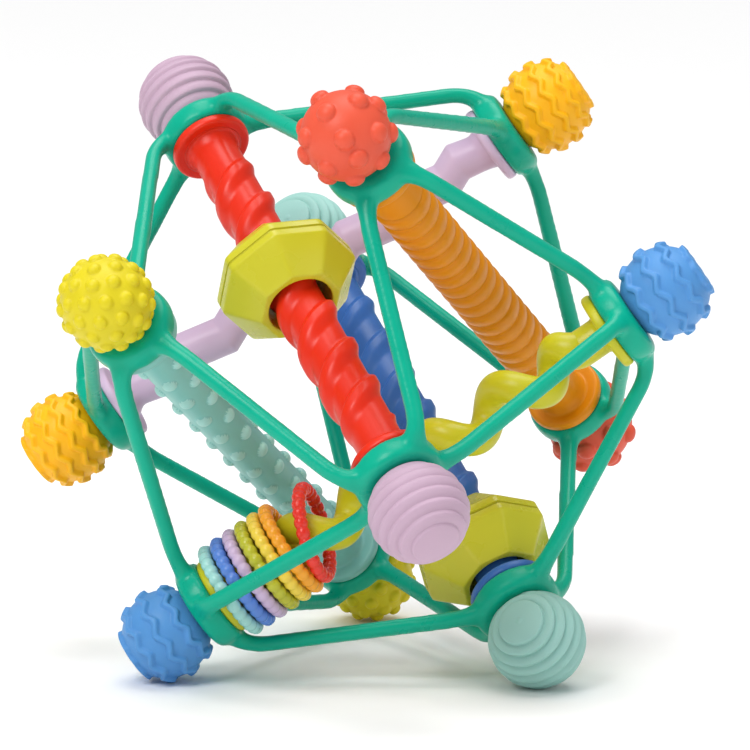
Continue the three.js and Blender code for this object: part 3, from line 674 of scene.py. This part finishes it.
olive_gloss = moulded(
    "olive_gloss", linear(200, 194, 44), 0.27, cloud=0.03, grain=0.02, soft=0.03, gloss=0.34
)
bead_seats = (  # strut, place along it, sag, and degrees of lean and turn
    ("red", 8.0, 0.0, -5.0, 17.0),
    ("blue", -45.8, BEAD_SAG, 0.0, -6.0),
)
bead_points, bead_faces = bead_shell()
for colour, along, sag, lean, spin in bead_seats:
    seat = strut_place(colour) @ Matrix.Translation(Vector((-sag / 2**0.5, -sag / 2**0.5, along)) * MM)
    seat = seat @ Matrix.Rotation(math.radians(lean), 4, "Y") @ Matrix.Rotation(math.radians(spin), 4, "Z")
    for half, turn_over in (("upper", 0.0), ("lower", math.pi)):
        place = seat @ Matrix.Rotation(turn_over, 4, "X")
        bead_half = new_piece(f"{colour}_bead_{half}_shell", bead_points, bead_faces, olive_gloss, place)
        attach(bead_half, f"{colour}_bead")
        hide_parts(f"bead_{colour}_{half}_half")


# The lavender and the pale aqua ribbed balls, on the ends of the red and blue struts. Soft elastomer moulded
# with stepped ribs round the ball and a smooth cap, pushed over the strut's pin against the hub.
BALL_RADIUS = 13.0
BALL_FLAT = 10.0  # from the ball's centre to the flat that faces the hub
RIB_CAP = 7.0  # radius of the cap
RIB_CAP_RISE = 0.9  # height of the shallow dome of the cap
RIB_CAP_EASE = 0.3  # how softly the cap's rim is rounded
RIB_CREST = 0.3  # share of a rib's width up to its fullest place
END_EASE = 0.45  # how softly a flat outer end runs into a ball


def globe(rows, columns, height, across=False, end=None):
    """A ball whose radius follows a function of latitude and turn, with a flat on the side of the hub and,
    where an end is given, on the outer side. A ball made across has its poles to the sides."""
    latitude = np.linspace(-math.pi / 2, math.pi / 2, rows)[1:-1][:, None]
    turn = np.linspace(0, 2 * math.pi, columns, endpoint=False)[None, :]
    reach = height(latitude, turn) + 0 * turn
    flat = reach * np.cos(latitude)
    points = np.stack((flat * np.cos(turn), flat * np.sin(turn), reach * np.sin(latitude)), axis=-1)
    low, high = (float(height(np.array([[pole]]), turn)[0, 0]) for pole in (-math.pi / 2, math.pi / 2))
    points = np.concatenate((points.reshape(-1, 3), [(0, 0, -low), (0, 0, high)]))
    if across:
        points = np.stack((points[:, 2], points[:, 1], -points[:, 0]), axis=-1)
    points[:, 2] = np.maximum(points[:, 2], -BALL_FLAT)
    if end:
        eased = np.exp(-points[:, 2] / END_EASE) + math.exp(-end / END_EASE)
        points[:, 2] = -END_EASE * np.log(eased)
    return points, closed_faces(rows - 2, columns)


def add_balls(colour, strut, shape, material):
    """The same ball on both ends of a strut."""
    for level, end in (("upper", 1), ("lower", -1)):
        place = strut_place(strut) @ Matrix.Translation((0, 0, end * HALF_SPAN * MM))
        if end < 0:
            place = place @ Matrix.Rotation(math.pi, 4, "X")
        ball = new_piece(f"{colour}_grip_ball_{level}", *shape, material, place)
        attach(ball, f"{strut}_strut")
        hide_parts(f"ball_{colour}_{level}")


def grip_elastomer(colour, paint, roughness, cloud, soft):
    """The soft, rather matt elastomer of the balls."""
    name = f"{colour}_elastomer"
    return moulded(name, linear(*paint), roughness, cloud=cloud, grain=0.07, soft=soft, gloss=0.3)


def stepped_ribs(low, high, count, depth, nub=0.0):
    """Radius over latitude: rounded layers that each step down on the side away from the cap, and the cap's
    shallow dome, which may have a small nub left by the mould."""
    def height(latitude, turn):
        place = (latitude - low) / (high - low) * count
        beyond = np.clip(place - count, 0, RIB_CREST)
        share = np.where((place > 0) & (place < count), place % 1, beyond)
        share = np.where(place < 0, RIB_CREST, share)
        swell = np.sin(share / RIB_CREST * math.pi / 2)
        fall = 1 - (np.maximum(share - RIB_CREST, 0) / (1 - RIB_CREST)) ** 1.7
        rise = np.where(share < RIB_CREST, swell, fall)
        layer = BALL_RADIUS - depth * (1 - rise)
        polar = np.maximum(math.pi / 2 - latitude, 1e-4)
        rim = BALL_RADIUS * math.sin(high)
        spread = (RIB_CAP**2 + RIB_CAP_RISE**2) / (2 * RIB_CAP_RISE)
        drop = rim + RIB_CAP_RISE - spread
        dome = drop * np.cos(polar) + np.sqrt(np.maximum(spread**2 - (drop * np.sin(polar)) ** 2, 0))
        dome = dome + nub * (1 - smooth_step(0.03, 0.09, polar))
        rim_round = RIB_CAP_EASE * np.log1p(np.exp(-np.abs(dome - layer) / RIB_CAP_EASE))
        return np.minimum(dome, layer) - rim_round + 0 * turn

    return height


cap_latitude = math.acos(RIB_CAP / BALL_RADIUS)
flat_latitude = -math.asin(BALL_FLAT / BALL_RADIUS)
lavender_elastomer = grip_elastomer("lavender", (188, 160, 180), 0.5, cloud=0.03, soft=0.08)
lavender_ribs = stepped_ribs(flat_latitude, cap_latitude, count=7, depth=0.8)
add_balls("lavender", "red", globe(190, 100, lavender_ribs), lavender_elastomer)
aqua_elastomer = grip_elastomer("aqua", (156, 202, 194), 0.48, cloud=0.03, soft=0.08)
aqua_ribs = stepped_ribs(-cap_latitude, cap_latitude, count=8, depth=1.3, nub=0.2)
add_balls("aqua", "blue", globe(220, 100, aqua_ribs, across=True), aqua_elastomer)


# The blue and the amber zigzag balls, on the ends of the lime and lavender struts. Soft elastomer moulded
# with raised zigzag ribs round the ball, pushed over the strut's pin. The last rib is a calmer ring round the
# flat outer end.
ZIGZAG_RIB_HEIGHT = 1.2
ZIGZAG_RIM = 6.3  # radius of the last rib, round the flat outer end
ZIGZAG_END = 11.1  # from the ball's centre to that end


def zigzag_ribs(ribs, first, zigzags, swing, half_width):
    """Radius over latitude and turn: rounded ribs in even rows whose zigzag has slightly rounded corners."""
    root = BALL_RADIUS - ZIGZAG_RIB_HEIGHT
    low, high = math.radians(first), math.acos(ZIGZAG_RIM / root)

    def height(latitude, turn):
        sway = np.arcsin(0.8 * np.sin(turn * zigzags)) / math.asin(0.8) * swing
        raised = 0
        for rib in range(ribs):
            middle = low + (high - low) * rib / (ribs - 1)
            width = root * math.cos(middle)
            calm = min(1, width / root * 1.1) * (0.6 if rib == ribs - 1 else 1)
            lean = 2 * swing * calm * zigzags / math.pi / width
            off = np.abs((latitude - middle) * root - sway * calm) / math.sqrt(1 + lean**2)
            raised = np.maximum(raised, 1 - smooth_step(half_width - 0.4, half_width + 0.3, off))
        return root + ZIGZAG_RIB_HEIGHT * raised

    return height


blue_elastomer = grip_elastomer("blue", (82, 145, 206), 0.46, cloud=0.04, soft=0.07)
blue_ribs = zigzag_ribs(ribs=4, first=-31, zigzags=11, swing=0.8, half_width=0.82)
add_balls("blue", "lime", globe(132, 240, blue_ribs, end=ZIGZAG_END), blue_elastomer)
amber_elastomer = grip_elastomer("amber", (246, 180, 10), 0.46, cloud=0.04, soft=0.07)
amber_ribs = zigzag_ribs(ribs=5, first=-37, zigzags=12, swing=0.7, half_width=0.82)
add_balls("amber", "lavender", globe(132, 240, amber_ribs, end=ZIGZAG_END), amber_elastomer)


# The coral and the yellow bumped balls, on the ends of the orange and aqua struts. Soft elastomer moulded
# with round domes all over, pushed over the strut's pin: large domes in rings on the coral balls, small close
# ones on the yellow.
CORAL_BODY = 11.7
CORAL_BUMP_RADIUS = 2.6
CORAL_BUMP_HEIGHT = 1.7
YELLOW_BODY = 11.8
YELLOW_BUMP_RADIUS = 1.8
YELLOW_BUMP_HEIGHT = 1.2
YELLOW_BUMPS = 62


def spread_directions(count, rounds=120):
    """Directions spread evenly over a ball: a spiral whose points then push each other apart."""
    number = np.arange(count) + 0.5
    polar = np.arccos(1 - 2 * number / count)
    turn = math.pi * (1 + 5**0.5) * number
    points = np.stack((np.cos(turn) * np.sin(polar), np.sin(turn) * np.sin(polar), np.cos(polar)), axis=-1)
    for _ in range(rounds):
        gap = points[:, None] - points[None]
        distance = np.linalg.norm(gap, axis=-1) + np.eye(count)
        push = (gap / distance[..., None] ** 3).sum(axis=1)
        points = points + push * 0.3 / count
        points /= np.linalg.norm(points, axis=1)[:, None]
    return points


def ringed_directions(rings):
    """Directions in rings round the strut's axis, from (latitude, count, turn) in degrees."""
    points = []
    for latitude, count, start in rings:
        for number in range(count):
            turn = math.radians(start + 360 * number / count)
            flat = math.cos(math.radians(latitude))
            points.append((flat * math.cos(turn), flat * math.sin(turn), math.sin(math.radians(latitude))))
    return np.array(points)


def domed_ball(directions, body, dome_radius, dome_height):
    """A ball with a round dome in each direction. Round a dome the grid is spread evenly over the dome's
    outline, so that its steep edge comes out clean."""
    form = bmesh.new()
    bmesh.ops.create_icosphere(form, subdivisions=6, radius=1)
    sphere = np.array([v.co for v in form.verts])
    faces = [tuple(v.index for v in face.verts) for face in form.faces]
    form.free()
    sphere /= np.linalg.norm(sphere, axis=1)[:, None]
    apart = np.arccos(np.clip(directions @ directions.T, -1, 1)) + 9 * np.eye(len(directions))
    zone = min(1.5 * dome_radius, 0.49 * apart.min() * body)
    dome_out = dome_radius * np.sin(np.linspace(0, math.pi / 2, 200))
    out = np.concatenate((dome_out, np.linspace(dome_radius, zone, 60)[1:]))
    curve = np.sqrt(np.maximum(1 - (out / dome_radius) ** 2, 0))
    up = np.where(out < dome_radius, dome_height * curve, 0)
    for _ in range(60):
        out[1:-1] = (out[:-2] + 2 * out[1:-1] + out[2:]) / 4
        up[1:-1] = (up[:-2] + 2 * up[1:-1] + up[2:]) / 4
    travelled = np.concatenate(([0], np.cumsum(np.hypot(np.diff(out), np.diff(up)))))
    middle = directions[(sphere @ directions.T).argmax(axis=1)]
    angle = np.arccos(np.clip((sphere * middle).sum(axis=1), -1, 1))
    away = sphere - np.cos(angle)[:, None] * middle
    away /= np.maximum(np.linalg.norm(away, axis=1), 1e-9)[:, None]
    share = np.minimum(angle * body / zone, 1) * travelled[-1]
    bent = np.where(angle * body < zone, np.interp(share, travelled, out) / body, angle)
    rise = np.where(angle * body < zone, np.interp(share, travelled, up), 0)
    points = (np.cos(bent)[:, None] * middle + np.sin(bent)[:, None] * away) * (body + rise)[:, None]
    points[:, 2] = np.maximum(points[:, 2], -BALL_FLAT)
    return points, faces


coral_elastomer = grip_elastomer("coral", (220, 84, 58), 0.44, cloud=0.04, soft=0.06)
coral_rings = ringed_directions([(90, 1, 0), (45, 4, 0), (14, 8, 0), (-22, 8, 22.5)])
coral_domes = domed_ball(coral_rings, CORAL_BODY, CORAL_BUMP_RADIUS, CORAL_BUMP_HEIGHT)
add_balls("coral", "orange", coral_domes, coral_elastomer)
yellow_elastomer = grip_elastomer("yellow", (212, 196, 22), 0.46, cloud=0.04, soft=0.06)
yellow_spread = spread_directions(YELLOW_BUMPS)
yellow_domes = domed_ball(yellow_spread, YELLOW_BODY, YELLOW_BUMP_RADIUS, YELLOW_BUMP_HEIGHT)
add_balls("yellow", "aqua", yellow_domes, yellow_elastomer)


# The studio: a plain pale floor, large soft lights, and the camera, far off with a long lens and a little
# above the toy's middle.
CAMERA_RIGHT = Vector((0.9997, 0.0259, 0.0032))
CAMERA_UP = Vector((-0.0070, 0.1480, 0.9890))
CAMERA_BACK = Vector((0.0252, -0.9886, 0.1482))
CAMERA_FAR = 1.280  # metres, as are the other distances here
TOY_MIDDLE = Vector((0, 0, 0.08076))
FLOOR_HALF = 60.0

floor_corners = ((-1, -1), (1, -1), (1, 1), (-1, 1))
floor_points = [(x * FLOOR_HALF / MM, y * FLOOR_HALF / MM, 0) for x, y in floor_corners]
pale_paper = moulded("pale_paper", linear(252, 252, 252), 0.8, cloud=0.004, grain=0.01)
new_piece("studio_floor", floor_points, [(0, 1, 2, 3)], pale_paper)

for name, kind, place, spread, power in (
    ("key_light", "AREA", (-0.75, -1.0, 1.35), 0.8, 18),
    ("fill_light", "AREA", (1.1, -0.9, 0.7), 0.9, 2.5),
    ("top_light", "SUN", (0.05, 0.25, 1.6), math.radians(45), 2.05),
):
    lamp = bpy.data.lights.new(name, kind)
    lamp.energy = power
    if kind == "SUN":
        lamp.angle = spread
    else:
        lamp.size = spread
    light = bpy.data.objects.new(name, lamp)
    bpy.context.scene.collection.objects.link(light)
    light.location = place
    light.rotation_euler = (TOY_MIDDLE - Vector(place)).to_track_quat("-Z", "Y").to_euler()

world = bpy.data.worlds.new("studio_air")
world.use_nodes = True
world.node_tree.nodes["Background"].inputs["Color"].default_value = (1, 1, 1, 1)
world.node_tree.nodes["Background"].inputs["Strength"].default_value = 0.35
bpy.context.scene.world = world
bpy.context.scene.view_settings.view_transform = "Standard"

lens = bpy.data.cameras.new("studio_camera")
lens.sensor_width = 36
lens.lens = 229.4
lens.shift_x = 0.0214
lens.shift_y = -0.0112
lens.clip_end = 20
camera = bpy.data.objects.new("studio_camera", lens)
bpy.context.scene.collection.objects.link(camera)
camera_place = Matrix((CAMERA_RIGHT, CAMERA_UP, CAMERA_BACK)).transposed().to_4x4()
camera_place.translation = TOY_MIDDLE + CAMERA_BACK * CAMERA_FAR
camera.matrix_world = camera_place
bpy.context.scene.camera = camera
